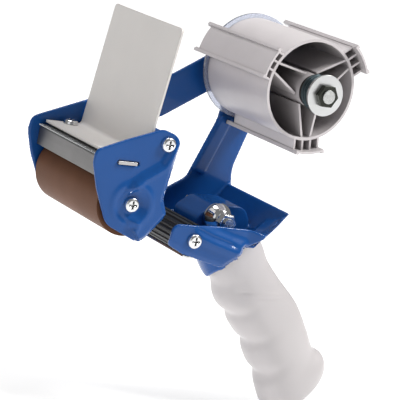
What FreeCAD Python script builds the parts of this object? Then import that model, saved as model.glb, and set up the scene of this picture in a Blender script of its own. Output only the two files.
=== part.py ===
"""Pistol-grip tape dispenser for 75 mm packing tape on a 76 mm core.

The hub axis runs along Y through the origin, which lies at the middle of the tape's width.
+X points to the rear, +Z up, and the open side of the frame faces -Y.
"""
import FreeCAD, Part
import math
import os
import Sketcher

V = FreeCAD.Vector

# Driving dimensions in millimetres and degrees. Every sub-part reads them from the sheet.
DIMENSIONS = {
    "core_radius": 38, "plate_gap": 83, "sheet_thick": 2,
    "hub_radius": 30, "hub_wall": 1.7, "hub_near": 36, "hub_far": 31.4, "boss_radius": 9.5,
    "boss_near": 38, "boss_far": 34.5, "wing_near": 41, "wing_far": 39, "wing_half_angle": 15,
    "wing_angle": 38.5, "wing_count": 3, "disc_radius": 32.5, "disc_thick": 1.6,
    "axle_radius": 4, "axle_near": 55.4, "running_gap": 0.06,
    "washer_radius": 12, "washer_thick": 1.6, "washer_near": 51.4, "pad_thick": 1.5,
    "spring_radius": 9.6, "spring_wire": 1.9, "nut_flats": 12, "nut_height": 3.0,
    "roller_x": -107.8, "roller_z": -75.4, "roller_radius": 19.3, "roller_length": 79,
    "core_tube_radius": 14, "bush_radius": 7, "bush_length": 8, "rod_radius": 4,
    "guide_x": -62.3, "guide_z": -93.3, "guide_radius": 9.4, "guide_rod_radius": 4,
    "guide_flutes": 18, "flute_radius": 1.1, "shield_gap": 0.5, "shield_thick": 1.2,
    "spacer_x": -92.1, "spacer_z": -39.5, "spacer_radius": 5.5,
    "bracket_front": -128.4, "bracket_rear": -96, "bracket_top": -51.4, "bracket_thick": 1.8,
    "bracket_lip": 11.5, "tab_front": -121.3, "tab_rear": -109.5, "slot_rear": -107.5,
    "blade_tip": -130.2, "blade_thick": 0.7, "tooth_pitch": 2, "tooth_depth": 2.2,
    "clamp_thick": 1.2, "flap_width": 80, "flap_front": -122.3, "flap_fold": -101.5,
    "flap_height": 75, "flap_thick": 1.5, "flap_lean": 5.8, "flap_screw_x": -112.8,
    "flap_screw_y": 34, "floor_top": -96, "tray_rear": 10, "rear_lip": -75.8,
    "tray_lean": 41.3,
    "handle_x": -10, "handle_z": -98.4, "handle_lean": 36,
    "bolt_x": -28, "bolt_z": -86.5, "bolt_radius": 3, "saddle_near": -8,
    "saddle_far": 20, "apron_start": 15, "apron_length": 35, "apron_radius": 19.3,
    "apron_spread": 75, "cup_radius": 7, "cup_length": 9, "cup_flats": 10,
    "handle_nut_height": 5, "screw_head_radius": 4.5, "screw_head_height": 2.6,
    "screw_radius": 2.5, "recess_reach": 2.5, "recess_half": 0.55, "bolt_head": 5.3,
    "rib_thick": 1.3, "strut_screw_x": 6, "strut_screw_z": -36, "strut_screw_radius": 2,
}

os.makedirs("parts", exist_ok=True)
doc = FreeCAD.newDocument("tape_gun")
sheet = doc.addObject("Spreadsheet::Sheet", "dims")
for row, (alias, value) in enumerate(DIMENSIONS.items(), start=1):
    sheet.set(f"A{row}", alias)
    sheet.set(f"B{row}", str(value))
    sheet.setAlias(f"B{row}", alias)
doc.recompute()


def dim(name):
    """A driving dimension, read back from the sheet."""
    return float(sheet.get(name))


HALF_GAP = dim("plate_gap") / 2
OUTER = HALF_GAP + dim("sheet_thick")
WEB_FACE = "dims.plate_gap / 2 + dims.sheet_thick"
INNER_FACE = "dims.plate_gap / 2"


# ---------------------------------------------------------------- sketch and feature helpers

def new_body(name):
    body = doc.addObject("PartDesign::Body", name)
    body.Label = name
    body.AllowCompound = True
    return body


def sketch_on(body, plane, offset="0"):
    """A sketch on one of the body's origin planes, moved along the plane's normal.

    On XZ_Plane the normal is -Y, so offset is minus the sketch's y.
    """
    sketch = body.newObject("Sketcher::SketchObject", body.Name + "_sketch")
    base = next(f for f in body.Origin.OriginFeatures if f.Role == plane)
    sketch.AttachmentSupport = (base, [""])
    sketch.MapMode = "FlatFace"
    sketch.setExpression("AttachmentOffset.Base.z", offset)
    return sketch


def extrude(body, sketch, length, kind="Pad"):
    """A Pad along the sketch's normal, or a Pocket along the same direction."""
    doc.recompute()
    before = body.Shape.Volume if kind == "Pocket" else 0
    feature = body.newObject("PartDesign::" + kind, body.Name + "_" + kind.lower())
    feature.Profile = sketch
    feature.setExpression("Length", length)
    feature.Reversed = kind == "Pocket"
    sketch.Visibility = False
    doc.recompute()
    if kind == "Pocket" and body.Shape.Volume >= before - 1e-6:
        raise ValueError(body.Name + ": a pocket cut nothing")
    return feature


def cut(body, sketch, length):
    return extrude(body, sketch, length, "Pocket")


def revolve(body, sketch, axis="V_Axis", kind="Revolution"):
    feature = body.newObject("PartDesign::" + kind, body.Name + "_" + kind.lower())
    feature.Profile = sketch
    feature.ReferenceAxis = (sketch, [axis])
    feature.Angle = 360
    doc.recompute()
    return feature


def polar(body, features, count, plane="Y_Axis"):
    """Repeat features about one of the body's origin axes."""
    pattern = body.newObject("PartDesign::PolarPattern", body.Name + "_pattern")
    pattern.Originals = features
    axis = next(f for f in body.Origin.OriginFeatures if f.Role == plane)
    pattern.Axis = (axis, [""])
    pattern.Angle = 360
    pattern.setExpression("Occurrences", count)
    body.Tip = pattern
    doc.recompute()
    return pattern


def mirror_across_width(body, features):
    """Copy features to the other side of the gun's middle plane."""
    mirrored = body.newObject("PartDesign::Mirrored", body.Name + "_mirrored")
    mirrored.Originals = features
    plane = next(f for f in body.Origin.OriginFeatures if f.Role == "XZ_Plane")
    mirrored.MirrorPlane = (plane, [""])
    body.Tip = mirrored
    doc.recompute()
    return mirrored


def circle(sketch, x, y, radius):
    """A circle whose centre and radius are bound to expressions."""
    index = sketch.addGeometry(Part.Circle(V(1, 1, 0), V(0, 0, 1), 5))
    right = sketch.addConstraint(Sketcher.Constraint("DistanceX", -1, 1, index, 3, 1))
    sketch.setExpression(f"Constraints[{right}]", x)
    up = sketch.addConstraint(Sketcher.Constraint("DistanceY", -1, 1, index, 3, 1))
    sketch.setExpression(f"Constraints[{up}]", y)
    size = sketch.addConstraint(Sketcher.Constraint("Radius", index, 5))
    sketch.setExpression(f"Constraints[{size}]", radius)


def rounded_edges(corners):
    """Edges of a closed outline, each corner (x, y, radius) rounded by a tangent arc."""
    edges = []
    cuts = []
    count = len(corners)
    for i, (x, y, radius) in enumerate(corners):
        here = V(x, y, 0)
        before = V(*corners[i - 1][:2], 0)
        after = V(*corners[(i + 1) % count][:2], 0)
        into = (before - here).normalize()
        out = (after - here).normalize()
        half = into.getAngle(out) / 2
        if radius <= 0 or half > math.radians(89.5):
            cuts.append((here, here, None))
            continue
        reach = radius / math.tan(half)
        middle = (into + out).normalize()
        centre = here + middle * (radius / math.sin(half))
        cuts.append((here + into * reach, here + out * reach, centre - middle * radius))
    for i, (start, end, middle) in enumerate(cuts):
        if middle is not None:
            edges.append(Part.Arc(start, middle, end))
        next_start = cuts[(i + 1) % count][0]
        if end.distanceToPoint(next_start) > 1e-6:
            edges.append(Part.LineSegment(end, next_start))
    return edges


def outline(sketch, corners):
    """A closed outline with rounded corners, its edges joined end to end."""
    edges = rounded_edges(corners)
    first = sketch.GeometryCount
    sketch.addGeometry(edges, False)
    ends = [edge.value(edge.LastParameter) for edge in edges]
    for i in range(len(edges)):
        after = (i + 1) % len(edges)
        here = first + i
        there = first + after
        if sketch.getPoint(here, 2).distanceToPoint(ends[i]) < 1e-6:
            here_end = 2
        else:
            here_end = 1
        if sketch.getPoint(there, 1).distanceToPoint(ends[i]) < 1e-6:
            there_end = 1
        else:
            there_end = 2
        sketch.addConstraint(Sketcher.Constraint("Coincident", here, here_end, there, there_end))


def rectangle(sketch, left, right, low, high):
    """A rectangle whose four sides are bound to expressions."""
    first = sketch.GeometryCount
    points = [V(0, 0, 0), V(1, 0, 0), V(1, 1, 0), V(0, 1, 0)]
    for i in range(4):
        sketch.addGeometry(Part.LineSegment(points[i], points[(i + 1) % 4]), False)
    for i in range(4):
        join = Sketcher.Constraint("Coincident", first + i, 2, first + (i + 1) % 4, 1)
        sketch.addConstraint(join)
    for side in (0, 2):
        sketch.addConstraint(Sketcher.Constraint("Horizontal", first + side))
        sketch.addConstraint(Sketcher.Constraint("Vertical", first + side + 1))
    sides = (("DistanceX", 0, left), ("DistanceX", 2, right),
             ("DistanceY", 0, low), ("DistanceY", 2, high))
    for kind, corner, expression in sides:
        index = sketch.addConstraint(Sketcher.Constraint(kind, -1, 1, first + corner, 1, 1))
        sketch.setExpression(f"Constraints[{index}]", expression)


def hexagon(sketch, x, y, flats):
    """A hexagon nut outline with two flats level."""
    reach = flats / 2 / math.cos(math.pi / 6)
    corners = []
    for i in range(6):
        angle = math.pi / 3 * i
        corners.append((x + reach * math.cos(angle), y + reach * math.sin(angle), 0))
    outline(sketch, corners)


def disc_body(name, x, z, radius, y_far, length, bore=None):
    """A round piece along Y: from y_far towards -Y, with an optional bore."""
    body = new_body(name)
    sketch = sketch_on(body, "XZ_Plane", f"-({y_far})")
    circle(sketch, x, z, radius)
    if bore:
        circle(sketch, x, z, bore)
    extrude(body, sketch, length)
    return body


def hex_nut(name, x, z, flats, y_far, height, bore):
    body = new_body(name)
    sketch = sketch_on(body, "XZ_Plane", f"-({y_far})")
    hexagon(sketch, x, z, flats)
    circle(sketch, str(x), str(z), bore)
    extrude(body, sketch, height)
    return body


def place_at(body, x, z):
    """Move a finished body in the side view, bound to the sheet."""
    body.setExpression("Placement.Base.x", x)
    body.setExpression("Placement.Base.z", z)


# ---------------------------------------------------------------- side view outlines

# Corners as (x, z, corner radius), hub axis at the origin.
HEAD = [(-135.8, -46.6, 5), (-118.0, -39.2, 30), (-96.0, -31.2, 9), (-83.8, -35.0, 7),
        (-87.7, -71.0, 6), (-83.5, -79.5, 6), (-94.5, -94.0, 4), (-99.0, -97.0, 3),
        (-121.0, -88.0, 12), (-131.0, -68.5, 30), (-136.2, -54.0, 8)]
WEB = [(-134.8, -47.4, 7), (-47.0, -12.4, 30), (-3.0, 16.5, 12), (22.0, 14.0, 14),
       (24.0, -8.5, 20), (8.8, -66.0, 20), (10.5, -75.8, 1), (-6.5, -97.0, 5),
       (-27.0, -97.5, 5), (-38.0, -108.3, 6), (-68.0, -101.5, 8), (-98.5, -97.0, 3),
       (-121.0, -88.0, 12), (-131.0, -68.5, 30), (-135.2, -56.0, 10)]
WINDOW = [(-82.0, -52.5, 5), (-48.0, -38.5, 20), (-9.5, -13.5, 8), (-8.0, -34.0, 28),
          (-22.6, -74.0, 5), (-39.0, -84.6, 8), (-82.0, -84.6, 5)]
STRUT_BEAD = [(-7.0, -33.5, 2), (1.5, -33.5, 2), (-12.0, -72.0, 2), (-20.0, -68.5, 2)]
NEAR_WALL = [(-77.6, -84.3, 5), (-22.0, -84.9, 30), (-12.0, -87.6, 1.5), (-26.5, -96.6, 4),
             (-31.0, -104.0, 5), (-38.5, -108.7, 6), (-66.0, -102.5, 6), (-78.2, -97.0, 5)]
FLOOR = [(10.5, -75.8, 0.6), (-7.0, -98.0, 6), (-49.5, -98.0, 0), (-49.5, -96.0, 0),
         (-8.2, -96.0, 5), (7.9, -75.8, 0.6)]
SADDLE = [(-41.0, -97.0, 0), (-41.0, -87.0, 6), (-31.0, -79.0, 9), (-9.0, -79.0, 8),
          (-3.0, -88.5, 5), (-9.5, -97.0, 0)]
# The apron's pointed lower edge as (y, z), and the room above the grip's top as (x, z).
BELOW_APRON = [(-24.0, -102.5, 0), (-18.4, -109.2, 0), (-13.7, -116.6, 0), (0.0, -125.6, 0),
               (13.7, -116.6, 0), (18.4, -109.2, 0), (24.0, -102.5, 0), (24.0, -130.0, 0),
               (-24.0, -130.0, 0)]
ABOVE_GRIP = [(-90.0, -98.4, 0), (-6.9, -98.4, 0), (28.1, -54.0, 0), (-90.0, -54.0, 0)]


def shrunk(corners, amount, bottom):
    """The saddle's inside: its outline moved in by the sheet thickness, open at the bottom."""
    middle = sum(c[0] for c in corners) / len(corners)
    inner = []
    for x, z, radius in corners:
        side = amount if x < middle else -amount
        lower = bottom if radius == 0 else z - amount
        inner.append((x + side, lower, max(radius - amount, 0)))
    return inner


# ---------------------------------------------------------------- frame

def handle_sketch(body, along):
    """A sketch square to the grip's axis; local x points up and to the rear."""
    sketch = body.newObject("Sketcher::SketchObject", body.Name + "_section")
    base = next(f for f in body.Origin.OriginFeatures if f.Role == "XY_Plane")
    sketch.AttachmentSupport = (base, [""])
    sketch.MapMode = "FlatFace"
    lean = math.radians(dim("handle_lean"))
    x = dim("handle_x") + along * math.sin(lean)
    z = dim("handle_z") - along * math.cos(lean)
    turn = FreeCAD.Rotation(V(0, 1, 0), -dim("handle_lean"))
    sketch.AttachmentOffset = FreeCAD.Placement(V(x, 0, z), turn)
    return sketch


def ellipse(sketch, centre, half_depth, half_width):
    centre_point = V(centre, 0, 0)
    depth_point = V(centre + half_depth, 0, 0)
    width_point = V(centre, half_width, 0)
    sketch.addGeometry(Part.Ellipse(depth_point, width_point, centre_point), False)


def main_frame():
    body = new_body("main_frame")
    apron(body)
    web = sketch_on(body, "XZ_Plane", f"-({WEB_FACE})")
    outline(web, WEB)
    outline(web, WINDOW)
    extrude(body, web, "dims.sheet_thick")
    bead = sketch_on(body, "XZ_Plane", f"-({INNER_FACE})")
    outline(bead, STRUT_BEAD)
    extrude(body, bead, "dims.sheet_thick")
    floor = sketch_on(body, "XZ_Plane", f"-({INNER_FACE})")
    outline(floor, FLOOR)
    extrude(body, floor, "dims.plate_gap + dims.sheet_thick")
    near_wall = sketch_on(body, "XZ_Plane", INNER_FACE)
    outline(near_wall, NEAR_WALL)
    extrude(body, near_wall, "dims.sheet_thick")
    tray_corner(body)
    saddle(body)
    frame_holes(body)
    return body


def apron(body):
    """A pointed half collar that wraps the front of the grip below the tray."""
    band = handle_sketch(body, dim("apron_start"))
    inner = dim("apron_radius")
    outer = inner + dim("sheet_thick")
    spread = math.radians(dim("apron_spread"))
    centre = V(-3.4, 0, 0)
    ends = [(math.pi - spread), (math.pi + spread)]
    points = {}
    for name, radius in (("inner", inner), ("outer", outer)):
        for side, angle in zip(("left", "right"), ends):
            points[name, side] = centre + V(math.cos(angle), math.sin(angle), 0) * radius
        points[name, "front"] = centre + V(-radius, 0, 0)
    edges = [
        Part.Arc(points["inner", "left"], points["inner", "front"], points["inner", "right"]),
        Part.LineSegment(points["inner", "right"], points["outer", "right"]),
        Part.Arc(points["outer", "right"], points["outer", "front"], points["outer", "left"]),
        Part.LineSegment(points["outer", "left"], points["inner", "left"]),
    ]
    band.addGeometry(edges, False)
    extrude(body, band, "dims.apron_length")
    above = sketch_on(body, "XY_Plane", "dims.floor_top - 1")
    rectangle(above, "-90", "30", "-30", "30")
    cut(body, above, "60")
    below = sketch_on(body, "YZ_Plane", "-60")
    outline(below, BELOW_APRON)
    cut(body, below, "70")


def tray_corner(body):
    """The slanted cut that takes off the tray's rear corner on the open side."""
    slant = body.newObject("Sketcher::SketchObject", body.Name + "_corner")
    base = next(f for f in body.Origin.OriginFeatures if f.Role == "XY_Plane")
    slant.AttachmentSupport = (base, [""])
    slant.MapMode = "FlatFace"
    lean = math.radians(dim("tray_lean"))
    upwards = V(math.sin(lean), 0, math.cos(lean))
    reach = 60
    start = V(dim("tray_rear"), 0, dim("rear_lip")) - upwards * reach
    turn = FreeCAD.Rotation(V(0, 1, 0), dim("tray_lean"))
    slant.AttachmentOffset = FreeCAD.Placement(start, turn)
    outline(slant, [(6.0, -17.9, 0), (-12.5, -47.5, 0), (6.0, -47.5, 0)])
    cut(body, slant, str(reach + 4))


def saddle(body):
    """The hollow raised dome over the grip's top, open downwards through the floor."""
    dome = sketch_on(body, "XZ_Plane", "-dims.saddle_far")
    outline(dome, SADDLE)
    extrude(body, dome, "dims.saddle_far - dims.saddle_near")
    hollow = sketch_on(body, "XZ_Plane", "-(dims.saddle_far - dims.sheet_thick)")
    outline(hollow, shrunk(SADDLE, dim("sheet_thick"), -99))
    cut(body, hollow, "dims.saddle_far - dims.saddle_near - 2 * dims.sheet_thick")
    bolt_hole = sketch_on(body, "XZ_Plane", "-30")
    circle(bolt_hole, "dims.bolt_x", "dims.bolt_z", "dims.bolt_radius")
    cut(body, bolt_hole, "40")


def tab_slot(sketch):
    low = "dims.bracket_top - dims.bracket_thick - 0.2"
    rectangle(sketch, "dims.tab_front - 0.2", "dims.slot_rear", low, "dims.bracket_top + 0.2")


def frame_holes(body):
    far = sketch_on(body, "XZ_Plane", "-60")
    circle(far, "0", "0", "dims.axle_radius")
    circle(far, "dims.roller_x", "dims.roller_z", "dims.screw_radius")
    circle(far, "dims.spacer_x", "dims.spacer_z", "dims.screw_radius")
    circle(far, "dims.guide_x", "dims.guide_z", "dims.screw_radius")
    circle(far, "dims.strut_screw_x", "dims.strut_screw_z", "2")
    tab_slot(far)
    cut(body, far, "25")
    near = sketch_on(body, "XZ_Plane", "40")
    circle(near, "dims.guide_x", "dims.guide_z", "dims.screw_radius")
    cut(body, near, "6")


# ---------------------------------------------------------------- head

def near_side_plate():
    body = new_body("near_side_plate")
    plate = sketch_on(body, "XZ_Plane", INNER_FACE)
    outline(plate, HEAD)
    circle(plate, "dims.roller_x", "dims.roller_z", "dims.screw_radius")
    circle(plate, "dims.spacer_x", "dims.spacer_z", "dims.screw_radius")
    tab_slot(plate)
    extrude(body, plate, "dims.sheet_thick")
    return body


def knife_bracket():
    """A folded strip whose tabs sit in the side plates' slots; its lip hangs at the front."""
    body = new_body("knife_bracket")
    front = dim("bracket_front")
    rear = dim("bracket_rear")
    top = dim("bracket_top")
    under = top - dim("bracket_thick")
    inside = front + dim("bracket_thick")
    low = top - dim("bracket_lip")
    fold = sketch_on(body, "XZ_Plane", f"-({INNER_FACE} - 0.3)")
    outline(fold, [(front, top, 1.5), (rear, top, 0), (rear, under, 0), (inside, under, 0.5),
                   (inside, low, 0), (front, low, 0)])
    extrude(body, fold, "dims.plate_gap - 0.6")
    tabs = sketch_on(body, "XZ_Plane", f"-({WEB_FACE} + 1.2)")
    rectangle(tabs, "dims.tab_front", "dims.tab_rear", "dims.bracket_top - dims.bracket_thick",
              "dims.bracket_top")
    extrude(body, tabs, "dims.plate_gap + 2 * dims.sheet_thick + 2.4")
    flap_screw_holes(body, "dims.bracket_top - 10", "20", "2")
    return body


def flap_screw_holes(body, start, depth, radius):
    sketch = sketch_on(body, "XY_Plane", start)
    circle(sketch, "dims.flap_screw_x", "dims.flap_screw_y", radius)
    circle(sketch, "dims.flap_screw_x", "-dims.flap_screw_y", radius)
    cut(body, sketch, depth)


def serrated_blade():
    body = new_body("serrated_blade")
    half = dim("flap_width") / 2
    tip = dim("blade_tip")
    root = tip + dim("tooth_depth")
    pitch = dim("tooth_pitch")
    teeth = int(2 * half / pitch)
    corners = [(-104.0, half, 0), (-104.0, -half, 0)]
    for i in range(teeth):
        corners.append((root, -half + i * pitch, 0))
        corners.append((tip, -half + (i + 0.5) * pitch, 0))
    corners.append((root, half, 0))
    plan = sketch_on(body, "XY_Plane", "dims.bracket_top")
    outline(plan, corners)
    extrude(body, plan, "dims.blade_thick")
    flap_screw_holes(body, "dims.bracket_top - 1", "5", "2.1")
    return body


def blade_clamp():
    body = new_body("blade_clamp")
    plan = sketch_on(body, "XY_Plane", "dims.bracket_top + dims.blade_thick")
    rectangle(plan, "dims.flap_front + 1", "dims.flap_fold - 1", "-dims.flap_width / 2",
              "dims.flap_width / 2")
    extrude(body, plan, "dims.clamp_thick")
    flap_screw_holes(body, "dims.bracket_top - 1", "9", "2.1")
    return body


def press_flap():
    """An L-shaped sheet: its foot covers the blade and its tall leaf presses the tape down."""
    body = new_body("press_flap")
    foot = dim("bracket_top") + dim("blade_thick") + dim("clamp_thick")
    thick = dim("flap_thick")
    lean = math.tan(math.radians(dim("flap_lean")))
    rise = dim("flap_height")
    front = dim("flap_front")
    fold = dim("flap_fold")
    shape = sketch_on(body, "XZ_Plane", "-dims.flap_width / 2")
    outline(shape, [(front, foot, 0.4), (fold, foot, 2.0), (fold + rise * lean, foot + rise, 0.5),
                    (fold + rise * lean - thick, foot + rise, 0.5), (fold - thick, foot + thick, 0.6),
                    (front, foot + thick, 0.4)])
    extrude(body, shape, "dims.flap_width")
    corners = sketch_on(body, "YZ_Plane", "-110")
    top = foot + rise
    half = dim("flap_width") / 2
    for side in (1, -1):
        outline(corners, [(side * (half - 2.5), top, 0), (side * half, top - 2.5, 0),
                          (side * (half + 3), top + 3, 0)])
    cut(body, corners, "40")
    flap_screw_holes(body, "dims.bracket_top - 1", "9", "2.1")
    return body


def cross_spacer():
    return disc_body("cross_spacer", "dims.spacer_x", "dims.spacer_z", "dims.spacer_radius",
                     INNER_FACE, "dims.plate_gap", "dims.screw_radius")


# ---------------------------------------------------------------- rollers

def roller_parts():
    half = "dims.roller_length / 2"
    x = "dims.roller_x"
    z = "dims.roller_z"
    tyre = disc_body("roller_tyre", x, z, "dims.roller_radius", half, "dims.roller_length",
                     "dims.core_tube_radius")
    core = disc_body("roller_core", x, z, "dims.core_tube_radius", half, "dims.roller_length",
                     "dims.bush_radius")
    bushes = new_body("roller_bushes")
    end = sketch_on(bushes, "XZ_Plane", "-dims.roller_length / 2")
    circle(end, x, z, "dims.bush_radius")
    circle(end, x, z, "dims.rod_radius + dims.running_gap")
    bush = extrude(bushes, end, "dims.bush_length")
    mirror_across_width(bushes, [bush])
    rod = disc_body("roller_axle", x, z, "dims.rod_radius", INNER_FACE, "dims.plate_gap",
                    "dims.screw_radius")
    return [tyre, core, bushes, rod]


def guide_roller():
    body = disc_body("guide_roller", "dims.guide_x", "dims.guide_z", "dims.guide_radius",
                     "dims.roller_length / 2", "dims.roller_length",
                     "dims.guide_rod_radius + dims.running_gap")
    flutes = sketch_on(body, "XZ_Plane", "-60")
    count = int(dim("guide_flutes"))
    for i in range(count):
        angle = 2 * math.pi * i / count
        reach = dim("guide_radius") + 0.25
        x = dim("guide_x") + reach * math.cos(angle)
        z = dim("guide_z") + reach * math.sin(angle)
        circle(flutes, str(x), str(z), "dims.flute_radius")
    cut(body, flutes, "120")
    return body


def guide_axle():
    return disc_body("guide_axle", "dims.guide_x", "dims.guide_z", "dims.guide_rod_radius",
                     INNER_FACE, "dims.plate_gap", "dims.screw_radius")


def guide_shield():
    """A thin curved strip under the guide roller, its tail flat against the tray."""
    body = new_body("guide_shield")
    centre = V(dim("guide_x"), dim("guide_z"), 0)
    inner = dim("guide_radius") + dim("shield_gap")
    outer = inner + dim("shield_thick")
    tail_end = V(dim("guide_x") + 16, dim("floor_top") - 2.1, 0)
    tail_low = tail_end - V(0, dim("shield_thick"), 0)

    def at(radius, degrees):
        angle = math.radians(degrees)
        return centre + V(math.cos(angle), math.sin(angle), 0) * radius

    front, middle, rear = (-112, -72, -32)
    edges = [
        Part.Arc(at(inner, front), at(inner, middle), at(inner, rear)),
        Part.LineSegment(at(inner, rear), tail_end),
        Part.LineSegment(tail_end, tail_low),
        Part.LineSegment(tail_low, at(outer, rear)),
        Part.Arc(at(outer, rear), at(outer, middle), at(outer, front)),
        Part.LineSegment(at(outer, front), at(inner, front)),
    ]
    shape = sketch_on(body, "XZ_Plane", f"-({INNER_FACE} - 0.3)")
    shape.addGeometry(edges, False)
    extrude(body, shape, "dims.plate_gap - 0.6")
    return body


# ---------------------------------------------------------------- tape hub

def hub():
    body = new_body("hub")
    barrel = sketch_on(body, "XZ_Plane", "-dims.hub_far")
    circle(barrel, "0", "0", "dims.hub_radius")
    circle(barrel, "0", "0", "dims.hub_radius - dims.hub_wall")
    extrude(body, barrel, "dims.hub_far + dims.hub_near")
    boss = sketch_on(body, "XZ_Plane", "-dims.boss_far")
    circle(boss, "0", "0", "dims.boss_radius")
    circle(boss, "0", "0", "dims.axle_radius + dims.running_gap")
    extrude(body, boss, "dims.boss_far + dims.boss_near")
    spokes = sketch_on(body, "XZ_Plane", "-dims.hub_far")
    for side in (1, -1):
        wing_turned_box(spokes, dim("boss_radius") - 1.5, dim("hub_radius") - 0.8,
                        side * 6.6, side * 2.7)
    spoke_pad = extrude(body, spokes, "dims.hub_far + dims.hub_near - 1")
    wing = sketch_on(body, "XZ_Plane", "-dims.wing_far")
    wing_platform(wing)
    wing_pad = extrude(body, wing, "dims.wing_far + dims.wing_near")
    ribs = sketch_on(body, "XZ_Plane", "-dims.hub_far")
    for offset in (8.1, 2.7, -2.7, -8.1):
        wing_turned_box(ribs, dim("hub_radius") - 1.2, dim("core_radius") - 1.8, offset, offset)
    rib_pad = extrude(body, ribs, "dims.hub_far + dims.hub_near")
    polar(body, [spoke_pad, wing_pad, rib_pad], "dims.wing_count")
    return body


def wing_turned_box(sketch, near, far, near_offset, far_offset):
    """A straight rib section between two radii along the first wing's direction."""
    angle = math.radians(dim("wing_angle"))
    out = V(math.cos(angle), math.sin(angle), 0)
    side = V(-math.sin(angle), math.cos(angle), 0)
    half = dim("rib_thick") / 2
    stops = ((near, near_offset - half), (far, far_offset - half),
             (far, far_offset + half), (near, near_offset + half))
    corners = []
    for along, across in stops:
        point = out * along + side * across
        corners.append((point.x, point.y, 0))
    outline(sketch, corners)


def wing_platform(sketch):
    """An arc strip that carries the core, with a raised rail along each edge."""
    top = dim("core_radius")
    half = math.radians(dim("wing_half_angle"))
    rail = math.radians(3)
    middle = math.radians(dim("wing_angle"))

    def at(radius, angle):
        return V(radius * math.cos(middle + angle), radius * math.sin(middle + angle), 0)

    low = top - 2.2
    deck = top - 0.9
    inner = half - rail
    stops = [(low, -half), (top, -half), (top, -inner), (deck, -inner), (deck, inner),
             (top, inner), (top, half), (low, half)]
    edges = []
    for i, (radius, angle) in enumerate(stops):
        next_radius, next_angle = stops[(i + 1) % len(stops)]
        start = at(radius, angle)
        end = at(next_radius, next_angle)
        if radius == next_radius:
            edges.append(Part.Arc(start, at(radius, (angle + next_angle) / 2), end))
        else:
            edges.append(Part.LineSegment(start, end))
    sketch.addGeometry(edges, False)


def hub_end_disc():
    return disc_body("hub_end_disc", "0", "0", "dims.disc_radius", "dims.hub_far + dims.disc_thick",
                     "dims.disc_thick", "dims.boss_radius")


def axle_parts():
    """The M8 axle bolt, its fixed nut on the web, and the brake stack at its open end."""
    bolt = new_body("axle_bolt")
    shank = sketch_on(bolt, "XZ_Plane", f"-({WEB_FACE})")
    circle(shank, "0", "0", "dims.axle_radius")
    extrude(bolt, shank, f"{WEB_FACE} + dims.axle_near")
    bolt_head = sketch_on(bolt, "XZ_Plane", f"-({WEB_FACE} + dims.bolt_head)")
    hexagon(bolt_head, 0, 0, dim("nut_flats"))
    extrude(bolt, bolt_head, "dims.bolt_head")
    lock = hex_nut("axle_lock_nut", 0, 0, dim("nut_flats"), INNER_FACE, "dims.nut_height",
                   "dims.axle_radius")
    pad = disc_body("friction_pad", "0", "0", "dims.boss_radius", "-dims.boss_near - 0.05",
                    "dims.pad_thick", "dims.axle_radius + dims.running_gap")
    washer = disc_body("brake_washer", "0", "0", "dims.washer_radius",
                       "-dims.washer_near + dims.washer_thick", "dims.washer_thick",
                       "dims.axle_radius + dims.running_gap")
    nut = hex_nut("tension_nut", 0, 0, dim("nut_flats"), "-dims.washer_near - 0.05",
                  "dims.nut_height", "dims.axle_radius + dims.running_gap")
    return [bolt, lock, pad, washer, nut, brake_spring()]


def brake_spring():
    """A coil spring between the friction pad and the washer, swept along a smooth helix."""
    start = -(dim("boss_near") + 0.05 + dim("pad_thick"))
    end = -(dim("washer_near") - dim("washer_thick"))
    wire = dim("spring_wire") / 2
    radius = dim("spring_radius")
    clear = 0.15
    turns = 3.5
    rise = start - end - 2 * (wire + clear)
    steps = 56
    points = []
    for i in range(steps + 1):
        angle = 2 * math.pi * turns * i / steps
        points.append(V(radius * math.cos(angle), radius * math.sin(angle), rise * i / steps))
    coil_line = Part.BSplineCurve()
    coil_line.interpolate(points)
    climb = V(0, 2 * math.pi * radius * turns, rise)
    section = Part.Wire(Part.makeCircle(wire, points[0], climb))
    feature = doc.addObject("Part::Feature", "brake_spring")
    feature.Label = "brake_spring"
    feature.Shape = Part.Wire(coil_line.toShape()).makePipeShell([section], True, True)
    turn = FreeCAD.Rotation(V(1, 0, 0), 90)
    feature.Placement = FreeCAD.Placement(V(0, start - wire - clear, 0), turn)
    return feature


# ---------------------------------------------------------------- screws

# Half width and half height of the two slots that make a cross recess.
RECESS_ARMS = (("dims.recess_reach", "dims.recess_half"), ("dims.recess_half", "dims.recess_reach"))


def screw_profile(sketch, seat, length, radius):
    """Half section of a pan-head screw whose axis is the sketch's vertical axis.

    The head rises above seat and the shank reaches length below it.
    """
    head = dim("screw_head_radius")
    height = dim("screw_head_height")
    outline(sketch, [(0, seat - length, 0), (radius, seat - length, 0), (radius, seat, 0),
                     (head, seat, 0.2), (head - 0.5, seat + height, 1.4), (0, seat + height, 0)])


def side_screws(name, x, z, length):
    """A pair of pan-head screws along Y, one through each side of the gun."""
    body = new_body(name)
    section = sketch_on(body, "XY_Plane")
    seat = OUTER
    screw_profile(section, seat, length, dim("screw_radius"))
    turned = revolve(body, section)
    features = [turned]
    face = f"-({WEB_FACE} + dims.screw_head_height + 1)"
    for half_x, half_y in RECESS_ARMS:
        recess = sketch_on(body, "XZ_Plane", face)
        rectangle(recess, "-" + half_x, half_x, "-" + half_y, half_y)
        features.append(cut(body, recess, "2.6"))
    mirror_across_width(body, features)
    place_at(body, x, z)
    return body


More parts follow.
